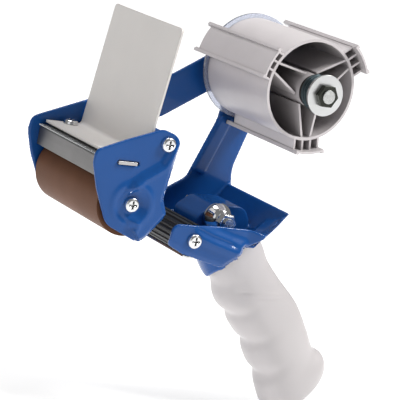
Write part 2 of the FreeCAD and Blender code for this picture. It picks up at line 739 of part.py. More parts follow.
def upright_screws():
    """Two vertical pan-head screws that hold the flap, clamp and blade to the bracket."""
    body = new_body("flap_screws")
    seat = dim("bracket_top") + dim("blade_thick") + dim("clamp_thick") + dim("flap_thick")
    section = sketch_on(body, "XZ_Plane", "0")
    screw_profile(section, seat, 6.2, 2)
    turned = revolve(body, section)
    features = [turned]
    for half_x, half_y in RECESS_ARMS:
        recess = sketch_on(body, "XY_Plane", str(seat + dim("screw_head_height") - 1.6))
        rectangle(recess, "-" + half_x, half_x, "-" + half_y, half_y)
        features.append(cut(body, recess, "5"))
    pattern = body.newObject("PartDesign::LinearPattern", "flap_screws_pattern")
    pattern.Originals = features
    axis = next(f for f in body.Origin.OriginFeatures if f.Role == "Y_Axis")
    pattern.Direction = (axis, [""])
    pattern.setExpression("Length", "2 * dims.flap_screw_y")
    pattern.Occurrences = 2
    body.Tip = pattern
    body.setExpression("Placement.Base.x", "dims.flap_screw_x")
    body.setExpression("Placement.Base.y", "-dims.flap_screw_y")
    return body


def strut_fastener():
    """A small screw through the strut, its head on the inner face, and its nut behind."""
    screw = new_body("strut_screw")
    section = sketch_on(screw, "XY_Plane")
    face = HALF_GAP
    outline(section, [(0, face - 1.9, 0), (3.4, face - 1.9, 1.0), (3.8, face, 0.2),
                      (2, face, 0), (2, face + 6.5, 0), (0, face + 6.5, 0)])
    revolve(screw, section)
    place_at(screw, "dims.strut_screw_x", "dims.strut_screw_z")
    nut = hex_nut("strut_nut", dim("strut_screw_x"), dim("strut_screw_z"), 7, f"{WEB_FACE} + 3.2",
                  "3.2", "2")
    return [screw, nut]


# ---------------------------------------------------------------- grip

# Sections down the grip: distance along its axis, centre offset, half depth, half width.
GRIP = [(-22, -3.0, 18.6, 16.6), (18, -3.4, 18.4, 16.8), (41, -2.0, 19.4, 17.4),
        (62, 1.0, 21.2, 18.0), (83, 0.8, 21.6, 18.0), (101, 1.2, 20.4, 17.4),
        (112, 3.0, 22.4, 17.8), (118, 3.4, 21.8, 17.0), (121.5, 3.8, 17.5, 13.0)]


def handle_grip():
    body = new_body("handle_grip")
    sections = []
    for along, centre, depth, width in GRIP:
        sketch = handle_sketch(body, along)
        ellipse(sketch, centre, depth, width)
        sections.append(sketch)
    doc.recompute()
    loft = body.newObject("PartDesign::AdditiveLoft", "grip_loft")
    loft.Profile = sections[0]
    loft.Sections = sections[1:]
    loft.Ruled = False
    doc.recompute()
    above = sketch_on(body, "XZ_Plane", "-40")
    outline(above, ABOVE_GRIP)
    cut(body, above, "80")
    boss = sketch_on(body, "XZ_Plane", "-(dims.saddle_far - dims.sheet_thick - 0.4)")
    outline(boss, [(-33.0, -99.0, 0), (-33.0, -82.0, 5), (-16.0, -82.0, 5), (-16.0, -99.0, 0)])
    extrude(body, boss, "dims.saddle_far - dims.saddle_near - 2 * dims.sheet_thick - 0.8")
    bolt_hole = sketch_on(body, "XZ_Plane", "-30")
    circle(bolt_hole, "dims.bolt_x", "dims.bolt_z", "dims.bolt_radius")
    cut(body, bolt_hole, "45")
    return body


def handle_fasteners():
    """The cross bolt through saddle and grip, with its domed cup and nut at the open side."""
    bolt = new_body("handle_bolt")
    shank = sketch_on(bolt, "XZ_Plane", "-dims.saddle_far")
    circle(shank, "dims.bolt_x", "dims.bolt_z", "dims.bolt_radius")
    past_nut = "dims.cup_length + dims.handle_nut_height + 1.5"
    extrude(bolt, shank, f"dims.saddle_far - dims.saddle_near + {past_nut}")
    bolt_head = sketch_on(bolt, "XZ_Plane", "-(dims.saddle_far + 4)")
    hexagon(bolt_head, dim("bolt_x"), dim("bolt_z"), dim("cup_flats"))
    extrude(bolt, bolt_head, "4")
    cup = new_body("bolt_cup")
    near = dim("saddle_near")
    rim = near - dim("cup_length")
    bore = dim("bolt_radius")
    radius = dim("cup_radius")
    section = sketch_on(cup, "XY_Plane")
    outline(section, [(bore, near, 0), (radius - 0.2, near, 0.6), (radius, near - 3.5, 3),
                      (radius - 2, rim, 1.5), (bore, rim, 0)])
    revolve(cup, section)
    place_at(cup, "dims.bolt_x", "dims.bolt_z")
    nut = hex_nut("handle_nut", dim("bolt_x"), dim("bolt_z"), dim("cup_flats"),
                  "dims.saddle_near - dims.cup_length", "dims.handle_nut_height",
                  "dims.bolt_radius")
    return [bolt, cup, nut]


# ---------------------------------------------------------------- build and write

parts = [
    main_frame(), near_side_plate(), knife_bracket(), serrated_blade(), blade_clamp(),
    press_flap(), upright_screws(), cross_spacer(),
    side_screws("spacer_screws", "dims.spacer_x", "dims.spacer_z", 12),
    *roller_parts(),
    side_screws("roller_screws", "dims.roller_x", "dims.roller_z", 12),
    guide_roller(), guide_axle(),
    side_screws("guide_screws", "dims.guide_x", "dims.guide_z", 12),
    guide_shield(), hub(), hub_end_disc(), *axle_parts(), *strut_fastener(),
    handle_grip(), *handle_fasteners(),
]
doc.recompute()
for item in doc.Objects:
    if "Invalid" in item.State or "Error" in item.State:
        raise ValueError(item.Label + " failed: " + str(item.State))
for part in parts:
    if part.Shape.isNull() or not part.Shape.isValid():
        raise ValueError(part.Label + " has no valid shape")
for part in parts:
    part.Shape.exportStep(f"parts/{part.Label}.step")
    box = part.Shape.BoundBox
    print(f"{part.Label:18s} solids {len(part.Shape.Solids)} volume {part.Shape.Volume:9.1f}"
          f"  x {box.XMin:7.1f} {box.XMax:7.1f}  y {box.YMin:6.1f} {box.YMax:6.1f}"
          f"  z {box.ZMin:7.1f} {box.ZMax:7.1f}")
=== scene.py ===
import math

import bmesh
import bpy
from mathutils import Matrix, Vector


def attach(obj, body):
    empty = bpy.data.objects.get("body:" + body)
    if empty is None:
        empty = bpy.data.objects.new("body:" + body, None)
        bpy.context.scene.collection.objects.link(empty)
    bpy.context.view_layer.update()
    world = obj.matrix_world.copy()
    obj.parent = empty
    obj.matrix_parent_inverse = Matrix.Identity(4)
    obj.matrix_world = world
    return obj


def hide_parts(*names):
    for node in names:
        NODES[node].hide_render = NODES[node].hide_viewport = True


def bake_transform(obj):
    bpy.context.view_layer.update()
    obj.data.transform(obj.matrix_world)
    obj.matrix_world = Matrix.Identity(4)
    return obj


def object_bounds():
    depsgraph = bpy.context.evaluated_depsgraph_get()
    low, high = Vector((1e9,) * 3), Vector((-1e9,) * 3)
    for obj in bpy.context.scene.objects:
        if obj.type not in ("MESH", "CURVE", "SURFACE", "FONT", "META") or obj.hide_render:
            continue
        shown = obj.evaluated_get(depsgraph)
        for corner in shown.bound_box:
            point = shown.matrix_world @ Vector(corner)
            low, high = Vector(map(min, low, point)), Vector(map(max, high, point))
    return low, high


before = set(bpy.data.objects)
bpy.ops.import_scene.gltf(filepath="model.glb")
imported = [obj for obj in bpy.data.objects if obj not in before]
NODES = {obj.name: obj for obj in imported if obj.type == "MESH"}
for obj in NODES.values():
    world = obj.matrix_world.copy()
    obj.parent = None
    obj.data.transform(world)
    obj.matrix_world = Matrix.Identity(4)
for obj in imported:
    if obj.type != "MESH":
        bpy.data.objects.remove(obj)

CAD_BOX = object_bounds()
# Shapes are written in mm, in the frame's own axes, and turned into the scene's metres by MM.
MM = 0.001
scene = bpy.context.scene


def smoothstep(low, high, value):
    """0 below low, 1 above high, and an even turn between them."""
    t = min(max((value - low) / (high - low), 0.0), 1.0)
    return t * t * (3 - 2 * t)


def bell(value, reach):
    """1 at 0, falling evenly to about 0 at twice the reach on both sides."""
    return math.exp(-(value / reach) ** 2)


def curve_through(points):
    """A smooth function through (x, y) points, flat beyond the ends."""
    xs = [p[0] for p in points]
    ys = [p[1] for p in points]
    slopes = []
    for i in range(len(points)):
        before = max(i - 1, 0)
        after = min(i + 1, len(points) - 1)
        slopes.append((ys[after] - ys[before]) / (xs[after] - xs[before]))

    def at(x):
        if x <= xs[0]:
            return ys[0]
        if x >= xs[-1]:
            return ys[-1]
        i = max(k for k in range(len(xs) - 1) if xs[k] <= x)
        span = xs[i + 1] - xs[i]
        t = (x - xs[i]) / span
        start = (1 + 2 * t) * (1 - t) ** 2
        end = t * t * (3 - 2 * t)
        lead = t * (1 - t) ** 2 * span
        trail = t * t * (t - 1) * span
        return start * ys[i] + end * ys[i + 1] + lead * slopes[i] + trail * slopes[i + 1]

    return at


# ---------------------------------------------------------------- materials

COAT_ROUGHNESS = 0.06
LEAST_ROUGHNESS = 0.02
SUBSURFACE_REACH = (0.003, 0.002, 0.0015)
# A noise texture's usual range, and the ambient occlusion of a deep corner and of an open flat,
# which set how much painted shade darkens corners.
NOISE_SPAN = (0.3, 0.7)
OCCLUSION_SPAN = (0.25, 0.75)
# A plated strip's ends lit by a painted highlight: how far the change takes, and how much brighter
# they are.
HIGHLIGHT_TURN = 0.0015
HIGHLIGHT_GAIN = 3.0


def node(tree, kind, **values):
    """A new shader node with its sockets or settings given by name."""
    made = tree.nodes.new(kind)
    for name, value in values.items():
        if name in made.inputs:
            made.inputs[name].default_value = value
        else:
            setattr(made, name, value)
    return made


def remapped(tree, source, low, high, start, end):
    """A value moved from the range low to high to the range start to end."""
    ranged = node(tree, "ShaderNodeMapRange")
    ranged.inputs["From Min"].default_value = low
    ranged.inputs["From Max"].default_value = high
    ranged.inputs["To Min"].default_value = start
    ranged.inputs["To Max"].default_value = end
    tree.links.new(source, ranged.inputs["Value"])
    return ranged.outputs["Result"]


def multiplied(tree, colour, factor):
    """A colour made lighter or darker by a factor."""
    product = node(tree, "ShaderNodeVectorMath", operation="SCALE")
    tree.links.new(colour, product.inputs[0])
    tree.links.new(factor, product.inputs["Scale"])
    return product.outputs["Vector"]


def surface(name, colour, roughness, metallic=0.0, coat=0.0, mottle=0.06, mottle_scale=40.0,
            grain_scale=1500.0, grain_depth=0.00002, wave_scale=0.0, wave_depth=0.0,
            roughness_spread=0.08, soft_edge=0.0004, painted_corner_shade=0.0, stretch=(1, 1, 1),
            transmission=0.0, subsurface=0.0, specular=0.5, corner_shade_reach=0.0022,
            painted_highlight_beyond=0.0):
    """A procedural finish: varied colour and roughness, fine grain and softly rounded edges;
    corners darkened by painted shade and, where asked, strip ends brightened by a painted
    highlight.
    """
    material = bpy.data.materials.new(name)
    material.use_nodes = True
    tree = material.node_tree
    link = tree.links.new
    shader = tree.nodes["Principled BSDF"]
    shader.inputs["Metallic"].default_value = metallic
    shader.inputs["Coat Weight"].default_value = coat
    shader.inputs["Coat Roughness"].default_value = COAT_ROUGHNESS
    shader.inputs["Transmission Weight"].default_value = transmission
    shader.inputs["Subsurface Weight"].default_value = subsurface
    shader.inputs["Subsurface Radius"].default_value = SUBSURFACE_REACH
    shader.inputs["Specular IOR Level"].default_value = specular
    place = node(tree, "ShaderNodeTexCoord")
    turned = node(tree, "ShaderNodeMapping", Scale=stretch)
    link(place.outputs["Object"], turned.inputs["Vector"])

    clouds = node(tree, "ShaderNodeTexNoise", Scale=mottle_scale, Detail=4.0)
    link(place.outputs["Object"], clouds.inputs["Vector"])
    shade = remapped(tree, clouds.outputs["Fac"], *NOISE_SPAN, 1 - mottle, 1 + mottle)
    tint = node(tree, "ShaderNodeVectorMath", operation="SCALE")
    tint.inputs[0].default_value = colour
    link(shade, tint.inputs["Scale"])
    base = tint.outputs["Vector"]
    # Painted shade: the base colour is darkened where ambient occlusion finds corners and
    # recesses.
    if painted_corner_shade:
        shelter = node(tree, "ShaderNodeAmbientOcclusion", samples=8, Distance=corner_shade_reach)
        painted_shade_factor = remapped(tree, shelter.outputs["AO"], *OCCLUSION_SPAN, 1 - painted_corner_shade, 1.0)
        base = multiplied(tree, base, painted_shade_factor)
    # Painted highlight: the base colour is made brighter beyond a given distance from the middle
    # along Y.
    if painted_highlight_beyond:
        across = node(tree, "ShaderNodeSeparateXYZ")
        link(place.outputs["Object"], across.inputs["Vector"])
        outward = node(tree, "ShaderNodeMath", operation="ABSOLUTE")
        link(across.outputs["Y"], outward.inputs[0])
        ends = remapped(tree, outward.outputs["Value"], painted_highlight_beyond,
                        painted_highlight_beyond + HIGHLIGHT_TURN, 1.0, HIGHLIGHT_GAIN)
        base = multiplied(tree, base, ends)
    link(base, shader.inputs["Base Color"])

    grain = node(tree, "ShaderNodeTexNoise", Scale=grain_scale, Detail=3.0)
    link(turned.outputs["Vector"], grain.inputs["Vector"])
    smoothest = max(roughness - roughness_spread, LEAST_ROUGHNESS)
    gloss = remapped(tree, grain.outputs["Fac"], 0.0, 1.0, smoothest,
                     roughness + roughness_spread)
    link(gloss, shader.inputs["Roughness"])

    rounded = node(tree, "ShaderNodeBevel", samples=6, Radius=soft_edge)
    bump = node(tree, "ShaderNodeBump", Distance=grain_depth, Strength=1.0)
    link(grain.outputs["Fac"], bump.inputs["Height"])
    link(rounded.outputs["Normal"], bump.inputs["Normal"])
    normal = bump.outputs["Normal"]
    if wave_scale:
        swell = node(tree, "ShaderNodeTexNoise", Scale=wave_scale, Detail=1.0)
        link(place.outputs["Object"], swell.inputs["Vector"])
        ripple = node(tree, "ShaderNodeBump", Distance=wave_depth, Strength=1.0)
        link(swell.outputs["Fac"], ripple.inputs["Height"])
        link(normal, ripple.inputs["Normal"])
        normal = ripple.outputs["Normal"]
    link(normal, shader.inputs["Normal"])
    link(normal, shader.inputs["Coat Normal"])
    return material


# The corner darkening that several of these finishes ask for is painted shade.
BLUE = surface("frame_paint", (0.009, 0.082, 0.31), 0.24, coat=0.25, mottle=0.06,
               mottle_scale=25.0, grain_scale=900.0, grain_depth=0.000002, wave_scale=120.0,
               wave_depth=0.00007, roughness_spread=0.03, specular=0.2, painted_corner_shade=0.4,
               corner_shade_reach=0.012)
# Painted shade: this zinc plate's dark base colour stands in for the shade it lies in; its ends
# are lifted to a lighter grey by a painted highlight.
ZINC_IN_PAINTED_SHADE = surface("zinc_plate", (0.20, 0.196, 0.195), 0.40, metallic=0.9, mottle=0.10,
               grain_scale=500.0, grain_depth=0.00001, stretch=(1, 0.05, 1),
               painted_highlight_beyond=0.0414)
BRIGHT_STRIP = surface("bright_plate", (0.72, 0.73, 0.74), 0.25, metallic=1.0, mottle=0.06,
                       grain_scale=500.0, grain_depth=0.00001, stretch=(1, 0.05, 1))
BLADE = surface("blade_steel", (0.50, 0.51, 0.52), 0.28, metallic=1.0, grain_scale=700.0,
                grain_depth=0.00001, stretch=(0.05, 1, 1))
FLAP = surface("flap_plastic", (0.76, 0.73, 0.705), 0.45, mottle=0.02, grain_scale=2200.0,
               grain_depth=0.00001, subsurface=0.05)
SCREW = surface("screw_zinc", (0.82, 0.83, 0.84), 0.22, metallic=1.0, mottle=0.08,
                grain_scale=1800.0, grain_depth=0.000008, painted_corner_shade=0.92)
TYRE = surface("tyre_rubber", (0.150, 0.066, 0.036), 0.46, mottle=0.14, mottle_scale=30.0,
               grain_scale=1200.0, grain_depth=0.000008, specular=0.10, painted_corner_shade=0.5,
               corner_shade_reach=0.012)
CORE = surface("core_plastic", (0.03, 0.03, 0.032), 0.5)
BUSH = surface("bush_plastic", (0.62, 0.62, 0.60), 0.45)
STEEL = surface("axle_steel", (0.70, 0.71, 0.70), 0.26, metallic=1.0, mottle=0.12,
                mottle_scale=400.0, grain_scale=1600.0, grain_depth=0.00001)
GUIDE = surface("guide_rubber", (0.014, 0.018, 0.023), 0.42, mottle=0.15, grain_scale=1500.0)
HUB = surface("hub_plastic", (0.70, 0.66, 0.67), 0.36, mottle=0.03, grain_scale=1900.0,
              grain_depth=0.000010, painted_corner_shade=0.40, corner_shade_reach=0.03)
DISC = surface("disc_plastic", (0.74, 0.78, 0.90), 0.20, mottle=0.02, grain_scale=1900.0,
               grain_depth=0.000008, transmission=0.75)
PAD = surface("pad_fibre", (0.030, 0.026, 0.024), 0.8, mottle=0.25, mottle_scale=600.0)
WASHER = surface("washer_zinc", (0.88, 0.89, 0.89), 0.32, metallic=1.0, mottle=0.05,
                 grain_scale=1500.0, grain_depth=0.00001)
NUT = surface("nut_steel", (0.055, 0.058, 0.050), 0.28, metallic=0.9, mottle=0.2,
              grain_scale=1500.0, painted_corner_shade=0.5)
SPRING = surface("spring_steel", (0.060, 0.085, 0.095), 0.30, metallic=0.8, mottle=0.12,
                 grain_scale=900.0, grain_depth=0.00001, painted_corner_shade=0.7)
GRIP = surface("grip_plastic", (0.61, 0.58, 0.585), 0.36, mottle=0.02, mottle_scale=30.0,
               grain_scale=1700.0, grain_depth=0.000012, painted_corner_shade=0.18, corner_shade_reach=0.012)
CHROME = surface("cup_chrome", (0.80, 0.81, 0.81), 0.08, metallic=1.0, mottle=0.04,
                 grain_scale=600.0, grain_depth=0.000004, roughness_spread=0.04)

FINISHES = {
    "cross_spacer": BLUE, "spacer_screws": SCREW, "knife_bracket": ZINC_IN_PAINTED_SHADE, "serrated_blade": BLADE,
    "blade_clamp": ZINC_IN_PAINTED_SHADE, "press_flap": FLAP, "flap_screws": SCREW, "roller_tyre": TYRE,
    "roller_core": CORE, "roller_bushes": BUSH, "roller_axle": STEEL, "roller_screws": SCREW,
    "guide_roller": GUIDE, "guide_axle": STEEL, "guide_screws": SCREW,
    "guide_shield": BRIGHT_STRIP, "hub": HUB, "hub_end_disc": DISC, "axle_bolt": STEEL,
    "axle_lock_nut": SCREW, "friction_pad": PAD, "brake_spring": SPRING,
    "brake_washer": WASHER, "tension_nut": NUT, "strut_screw": SCREW, "strut_nut": SCREW,
    "handle_grip": GRIP, "handle_bolt": STEEL, "bolt_cup": CHROME, "handle_nut": CHROME,
    "main_frame": BLUE, "near_side_plate": BLUE,
}


def paint(thing, material):
    """Give an object one material."""
    thing.data.materials.clear()
    thing.data.materials.append(material)


for node_name, material in FINISHES.items():
    for slot in NODES[node_name].material_slots:
        slot.material = material


# ---------------------------------------------------------------- mesh helpers

def finished(name, mesh, material, body, *replaced):
    """An object made from a finished mesh, riding on a body, if any, in place of CAD nodes."""
    thing = bpy.data.objects.new(name, mesh)
    scene.collection.objects.link(thing)
    paint(thing, material)
    mesh.shade_smooth()
    if body:
        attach(thing, body)
    if replaced:
        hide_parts(*replaced)
    return thing


def applied(mesh, modifiers):
    """The mesh with modifiers applied: (kind, settings) pairs, first to last."""
    helper = bpy.data.objects.new("helper", mesh)
    scene.collection.objects.link(helper)
    for kind, settings in modifiers:
        modifier = helper.modifiers.new(kind, kind)
        for key, value in settings.items():
            setattr(modifier, key, value)
    bpy.context.view_layer.update()
    graph = bpy.context.evaluated_depsgraph_get()
    result = bpy.data.meshes.new_from_object(helper.evaluated_get(graph))
    bpy.data.objects.remove(helper)
    return result


WELD_REACH = 0.000002


def welded(source, name):
    """A copy of a CAD node's mesh with its faces joined into one closed skin."""
    mesh = source.data.copy()
    mesh.name = name
    mesh.transform(source.matrix_world)
    skin = bmesh.new()
    skin.from_mesh(mesh)
    bmesh.ops.remove_doubles(skin, verts=skin.verts, dist=WELD_REACH)
    skin.to_mesh(mesh)
    skin.free()
    return mesh


def mesh_from(skin, name):
    """A mesh from a finished bmesh, with its faces turned outward."""
    bmesh.ops.recalc_face_normals(skin, faces=skin.faces)
    mesh = bpy.data.meshes.new(name)
    skin.to_mesh(mesh)
    skin.free()
    return mesh


def bridge(skin, rows, closed):
    """Faces between neighbouring rows of vertices; in closed rows the last meets the first."""
    count = len(rows[0])
    for before, after in zip(rows, rows[1:]):
        for k in range(count if closed else count - 1):
            ahead = (k + 1) % count
            skin.faces.new((before[k], before[ahead], after[ahead], after[k]))


def prism(name, corners, near, far):
    """A closed mesh with the side view outline (x, z) between two y values, all in mm."""
    skin = bmesh.new()
    ends = []
    for y in (near, far):
        ends.append([skin.verts.new((x * MM, y * MM, z * MM)) for x, z in corners])
    skin.faces.new(ends[0])
    skin.faces.new(list(reversed(ends[1])))
    bridge(skin, ends, closed=True)
    return mesh_from(skin, name)


def trimmed(mesh, corners, near, far):
    """The mesh without what lies inside a prism of (x, z) corners between two y values."""
    name = mesh.name
    cutter = bpy.data.objects.new("cutter", prism("cutter", corners, near, far))
    scene.collection.objects.link(cutter)
    result = applied(mesh, [("BOOLEAN", {"operation": "DIFFERENCE", "object": cutter})])
    bpy.data.objects.remove(cutter)
    result.name = name
    return result


def joined(first, *others):
    """One mesh from several."""
    skin = bmesh.new()
    for mesh in (first, *others):
        skin.from_mesh(mesh)
    skin.to_mesh(first)
    skin.free()
    return first


RELAX_FACTOR = 0.5
RELAX_ROUNDS = 4
ROLL_POWER = 1.5


def rolled(distance, depth, reach):
    """How far a sheet is rolled in at a distance from its edge."""
    return depth * (1 - smoothstep(0.0, reach, distance)) ** ROLL_POWER


def pressed_sheet(node_name, mesh, voxel, relief):
    """A sheet as pressed steel: its edges and folds rounded, then shaped by relief."""
    remesh = ("REMESH", {"mode": "VOXEL", "voxel_size": voxel})
    relax = ("SMOOTH", {"factor": RELAX_FACTOR, "iterations": RELAX_ROUNDS})
    name = mesh.name
    mesh = applied(mesh, [remesh, relax])
    for vertex in mesh.vertices:
        vertex.co = relief(vertex.co.x / MM, vertex.co.y / MM, vertex.co.z / MM) * MM
    mesh.name = name
    return finished(name, mesh, BLUE, "frame", node_name)


# ---------------------------------------------------------------- grip

GRIP_LEAN = math.radians(36)
GRIP_TOP = Vector((-10.0, 0.0, -98.4))
GRIP_DOWN = Vector((math.sin(GRIP_LEAN), 0.0, -math.cos(GRIP_LEAN)))
GRIP_BACK = Vector((math.cos(GRIP_LEAN), 0.0, math.sin(GRIP_LEAN)))

# Distance down the grip in mm against its front line, rear line and half width.
FRONT_LINE = curve_through([(-26, 21.5), (10, 21.3), (20, 22.0), (33, 24.0), (43, 22.7),
                            (54, 21.2), (67, 19.4), (81, 20.0), (92, 19.6), (104, 21.4),
                            (112, 22.0), (122.6, 20.6)])
REAR_LINE = curve_through([(-26, 15.0), (15, 15.3), (24.5, 14.8), (41, 17.4), (62, 22.0),
                           (83, 22.0), (98, 21.2), (104, 22.2), (110.6, 25.4), (116, 25.6),
                           (122.6, 22.5)])
HALF_WIDTH = curve_through([(-26, 16.6), (18, 16.8), (41, 17.4), (62, 18.0), (83, 18.0),
                            (101, 17.4), (112, 17.9), (122.6, 17.2)])
# Each valley between the fingers: how far down the grip it is, its depth and its reach.
FINGER_VALLEYS = ((22.5, 1.0, 5.0), (45.0, 2.1, 4.2), (68.0, 2.1, 4.2), (92.5, 1.9, 4.6))
# How the valleys fade toward the sides, and how much they narrow the grip there.
VALLEY_FADE = 1.4
VALLEY_PINCH = 0.5
PINCH_FADE = 0.7
# The slanting crease on each side: its place, how fast it drops rearward, its depth and reach.
# Above it the skin lies a small step lower. Both fade out toward the finger side.
CREASE_PLACE = 39.0
CREASE_SLOPE = 0.68
CREASE_DEPTH = 1.0
CREASE_REACH = 1.9
CREASE_FADE = (-18, -10)
STEP_DEPTH = 0.5
STEP_TURN = (-6.0, 1.0)
STEP_FADE = (-20, -8)
# The thumb's dish above the crease: both are down the grip first, then rearward of its axis.
DISH_PLACE = (29.0, -14.0)
DISH_REACH = (8.0, 7.0)
DISH_DEPTH = 1.7
# The grip's end slopes: the cross-section leans more and more from here down, about a line
# in front of the axis.
END_TILT = 0.19
TILT_START = 60.0
TILT_PIVOT = -14.0
GRIP_END = 122.6
END_ROUNDING = 5.0
ROUNDING_STEPS = 8
# The end face is drawn in from its rounding in these steps, and is a little crowned.
END_INSETS = (9.0, 12.0, 15.0)
END_CROWN = 0.05
# A power of 2 makes the cross-section an ellipse, and more makes it squarer.
SECTION_POWER = 2.25
RING_POINTS = 96
# Rings are counted from the grip's top. The first ones lie above it, where the tray's room is
# then cut away.
RING_SPACING = 0.8
FIRST_RING = -32
# The tray's room above the grip, as (x, z): its floor and its sloping rear wall.
TRAY_ROOM = [(-90.0, -98.4), (-6.9, -98.4), (28.1, -54.0), (-90.0, -54.0)]
ROOM_HALF = 40.0


def grip_point(along, turn, shrink=0.0):
    """A point of the grip's skin in mm; turn 0 is the rear, pi the front."""
    front = FRONT_LINE(along)
    rear = REAR_LINE(along)
    cosine = math.cos(turn)
    sine = math.sin(turn)
    forward = max(-cosine, 0.0)
    groove = 0.0
    for place, depth, reach in FINGER_VALLEYS:
        groove += depth * bell(along - place, reach)
    centre = (rear - front) / 2
    depth = (rear + front) / 2 - shrink
    width = HALF_WIDTH(along) - shrink
    power = 2 / SECTION_POWER
    back = centre + math.copysign(abs(cosine) ** power, cosine) * depth
    side = math.copysign(abs(sine) ** power, sine) * width
    back += groove * forward ** VALLEY_FADE
    side -= math.copysign(groove * VALLEY_PINCH * forward ** PINCH_FADE * abs(sine), sine)
    past_crease = along - CREASE_PLACE - CREASE_SLOPE * back
    crease = CREASE_DEPTH * bell(past_crease, CREASE_REACH) * smoothstep(*CREASE_FADE, back)
    crease += STEP_DEPTH * (1 - smoothstep(*STEP_TURN, past_crease)) * smoothstep(*STEP_FADE, back)
    dish = DISH_DEPTH * bell(along - DISH_PLACE[0], DISH_REACH[0])
    dish *= bell(back - DISH_PLACE[1], DISH_REACH[1])
    side -= math.copysign((crease + dish) * abs(sine), sine)
    along -= END_TILT * (back - TILT_PIVOT) * smoothstep(TILT_START, GRIP_END, along)
    return GRIP_TOP + GRIP_DOWN * along + GRIP_BACK * back + Vector((0, side, 0))


def make_grip():
    """The moulded grip: rings down to its rounded end, cut to the tray's room at the top."""
    skin = bmesh.new()
    rings = []
    last_ring = int((GRIP_END - END_ROUNDING) / RING_SPACING)
    stops = [(k * RING_SPACING, 0.0) for k in range(FIRST_RING, last_ring)]
    for k in range(1, ROUNDING_STEPS + 1):
        bend = math.pi / 2 * k / ROUNDING_STEPS
        along = GRIP_END - END_ROUNDING * (1 - math.sin(bend))
        stops.append((along, END_ROUNDING * (1 - math.cos(bend))))
    for inset in END_INSETS:
        stops.append((GRIP_END + END_CROWN * (inset - END_ROUNDING), inset))
    for along, shrink in stops:
        ring = []
        for k in range(RING_POINTS):
            point = grip_point(along, 2 * math.pi * k / RING_POINTS, shrink)
            ring.append(skin.verts.new(point * MM))
        rings.append(ring)
    bridge(skin, rings, closed=True)
    skin.faces.new(rings[-1])
    skin.faces.new(list(reversed(rings[0])))
    mesh = trimmed(mesh_from(skin, "grip_moulding"), TRAY_ROOM, -ROOM_HALF, ROOM_HALF)
    finished("grip_moulding", mesh, GRIP, "frame", "handle_grip")


make_grip()


# ---------------------------------------------------------------- side plate of the head

PLATE_VOXEL = 0.00055
# The axle screw's place in the side view, the pressed ring round it and the dish inside that.
BOSS = Vector((-107.8, 0.0, -75.4))
BOSS_RING = 11.5
BOSS_RING_HEIGHT = 0.5
BOSS_RING_REACH = 2.2
BOSS_DISH = (5.5, 10.5)
# The raised field: its height, where the slope up to it begins and ends, and its edge's lip.
FIELD_HEIGHT = 2.4
FIELD_SLOPE = (-1.0, 3.6)
LIP_PLACE = 4.0
LIP_HEIGHT = 0.5
LIP_REACH = 1.8
PLATE_ROLL = 2.4
PLATE_ROLL_REACH = 4.0


def side_line(*points):
    """A line in the side view from (x, z) points in mm."""
    return [Vector((x, 0, z)) for x, z in points]


RIDGE_LINE = side_line((-86, -33), (-91.1, -42.5), (-94.5, -50.0), (-100.2, -54.0),
                       (-105.3, -57.2), (-109.6, -61), (-112.8, -66.5), (-114.7, -73.3),
                       (-113.2, -80.1), (-106, -88))
REAR_EDGE = side_line((-83.8, -35), (-87.7, -71), (-83.5, -79.5), (-94.5, -94), (-99, -97))


def signed_distance(line, x, z):
    """Distance to a line of points in the side view, positive on its left-hand side."""
    best = None
    here = Vector((x, 0, z))
    for start, end in zip(line, line[1:]):
        run = end - start
        t = min(max((here - start).dot(run) / run.length_squared, 0.0), 1.0)
        gap = here - (start + run * t)
        side = math.copysign(gap.length, run.x * gap.z - run.z * gap.x)
        if best is None or abs(side) < abs(best):
            best = side
    return best


def plate_relief(x, y, z):
    """The raised field below the pressed ridge, the dish round the axle screw, the rolled edge."""
    step = signed_distance(RIDGE_LINE, x, z)
    raised = FIELD_HEIGHT * smoothstep(*FIELD_SLOPE, step)
    raised += LIP_HEIGHT * bell(step - LIP_PLACE, LIP_REACH)
    reach = math.hypot(x - BOSS.x, z - BOSS.z)
    ring = BOSS_RING_HEIGHT * bell(reach - BOSS_RING, BOSS_RING_REACH)
    dish = 1 - smoothstep(*BOSS_DISH, reach)
    out = (raised + ring) * (1 - dish)
    roll = rolled(abs(signed_distance(REAR_EDGE, x, z)), PLATE_ROLL, PLATE_ROLL_REACH)
    return Vector((x, y - out + roll, z))


pressed_sheet("near_side_plate", welded(NODES["near_side_plate"], "head_side_plate"), PLATE_VOXEL,
              plate_relief)


# ---------------------------------------------------------------- frame

FRAME_VOXEL = 0.0007
# The tray's open side wall lies beyond the first y, and its relief ends at the second.
WALL_SPAN = (-41.2, -39.0)
# The wall leans inward above its crease, is grooved along it and bulges below it. All three
# start behind the head, and the first two fade out toward the rear corner.
RELIEF_START = (-66, -56)
LEAN = 3.2
LEAN_REACH = 6.5
LEAN_FADE = (-26, -14)
GROOVE = 1.0
GROOVE_REACH = 1.1
GROOVE_FADE = (-38, -30)
BULGE = 2.0
BULGE_BELOW = 3.8
BULGE_REACH = 3.0
WALL_ROLL = 2.2
WALL_ROLL_REACH = 4.5
WALL_CREASE = side_line((-62.1, -85.6), (-56.1, -88.1), (-48.7, -90.6), (-41.5, -92.5),
                        (-36.3, -93.9), (-28.0, -95.6))
WALL_FOOT = side_line((-78, -97), (-66, -102.5), (-38.5, -108.7), (-31, -104), (-26.5, -96.6))
